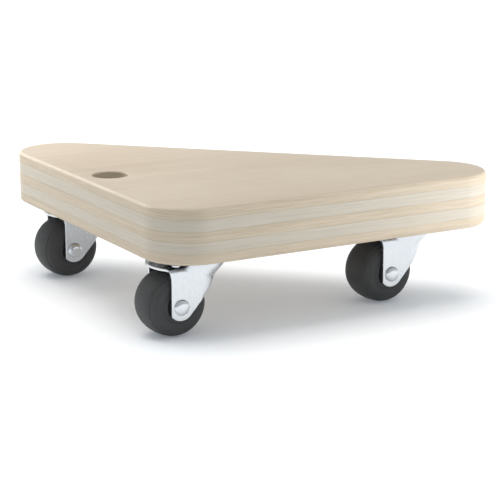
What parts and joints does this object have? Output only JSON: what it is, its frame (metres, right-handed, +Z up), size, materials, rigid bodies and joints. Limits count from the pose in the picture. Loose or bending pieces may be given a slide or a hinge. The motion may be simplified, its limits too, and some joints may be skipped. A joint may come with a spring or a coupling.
{
  "type": "furniture dolly",
  "caption": "Triangular plywood dolly on swivel castors, with a round grip hole in the deck, for moving furniture and pots.",
  "frame": {"origin": "on the floor under the middle of the deck's bounding box", "axes": "+Z up, +X and +Y along the deck's two short sides, away from its right-angled corner"},
  "size_m": [0.3025, 0.3, 0.102],
  "materials": {
    "plywood": "sanded light plywood with plain ply edges",
    "plate_zinc": "bright zinc-plated pressed steel",
    "fork_zinc": "bright zinc-plated pressed steel, satin",
    "screw_zinc": "zinc-plated steel, slightly polished",
    "bearing_steel": "plain bearing steel, lightly oiled",
    "wheel_plastic": "matt dark grey plastic",
    "tyre_rubber": "matt dark grey rubber"
  },
  "bodies": {
    "deck_body": {"deck": "plywood", "left_top_plate": "plate_zinc", "left_screw_1": "screw_zinc", "left_screw_2": "screw_zinc", "left_screw_3": "screw_zinc", "left_screw_4": "screw_zinc", "left_kingpin": "screw_zinc", "left_lower_race": "bearing_steel", "front_top_plate": "plate_zinc", "front_screw_1": "screw_zinc", "front_screw_2": "screw_zinc", "front_screw_3": "screw_zinc", "front_screw_4": "screw_zinc", "front_kingpin": "screw_zinc", "front_lower_race": "bearing_steel", "right_top_plate": "plate_zinc", "right_screw_1": "screw_zinc", "right_screw_2": "screw_zinc", "right_screw_3": "screw_zinc", "right_screw_4": "screw_zinc", "right_kingpin": "screw_zinc", "right_lower_race": "bearing_steel"},
    "left_swivel": {"left_upper_ball_ring": "bearing_steel", "left_lower_ball_ring": "bearing_steel", "left_fork": "fork_zinc", "left_axle_rivet": "screw_zinc", "left_axle_bush": "bearing_steel"},
    "left_wheel": {"left_wheel_core": "wheel_plastic", "left_tyre": "tyre_rubber"},
    "front_swivel": {"front_upper_ball_ring": "bearing_steel", "front_lower_ball_ring": "bearing_steel", "front_fork": "fork_zinc", "front_axle_rivet": "screw_zinc", "front_axle_bush": "bearing_steel"},
    "front_wheel": {"front_wheel_core": "wheel_plastic", "front_tyre": "tyre_rubber"},
    "right_swivel": {"right_upper_ball_ring": "bearing_steel", "right_lower_ball_ring": "bearing_steel", "right_fork": "fork_zinc", "right_axle_rivet": "screw_zinc", "right_axle_bush": "bearing_steel"},
    "right_wheel": {"right_wheel_core": "wheel_plastic", "right_tyre": "tyre_rubber"}
  },
  "joints": [
    {"name": "left_castor_swivel", "type": "hinge", "parent": "deck_body", "child": "left_swivel", "pos_m": [-0.107, 0.091, 0.057], "axis": [0, 0, 1], "continuous": true},
    {"name": "left_wheel_roll", "type": "hinge", "parent": "left_swivel", "child": "left_wheel", "pos_m": [-0.123, 0.091, 0.025], "axis": [0, 1, 0], "continuous": true},
    {"name": "front_castor_swivel", "type": "hinge", "parent": "deck_body", "child": "front_swivel", "pos_m": [-0.1115, -0.109, 0.057], "axis": [0, 0, 1], "continuous": true},
    {"name": "front_wheel_roll", "type": "hinge", "parent": "front_swivel", "child": "front_wheel", "pos_m": [-0.1275, -0.109, 0.025], "axis": [0, 1, 0], "continuous": true},
    {"name": "right_castor_swivel", "type": "hinge", "parent": "deck_body", "child": "right_swivel", "pos_m": [0.0765, -0.1055, 0.057], "axis": [0, 0, 1], "continuous": true},
    {"name": "right_wheel_roll", "type": "hinge", "parent": "right_swivel", "child": "right_wheel", "pos_m": [0.0605, -0.1055, 0.025], "axis": [0, 1, 0], "continuous": true}
  ]
}
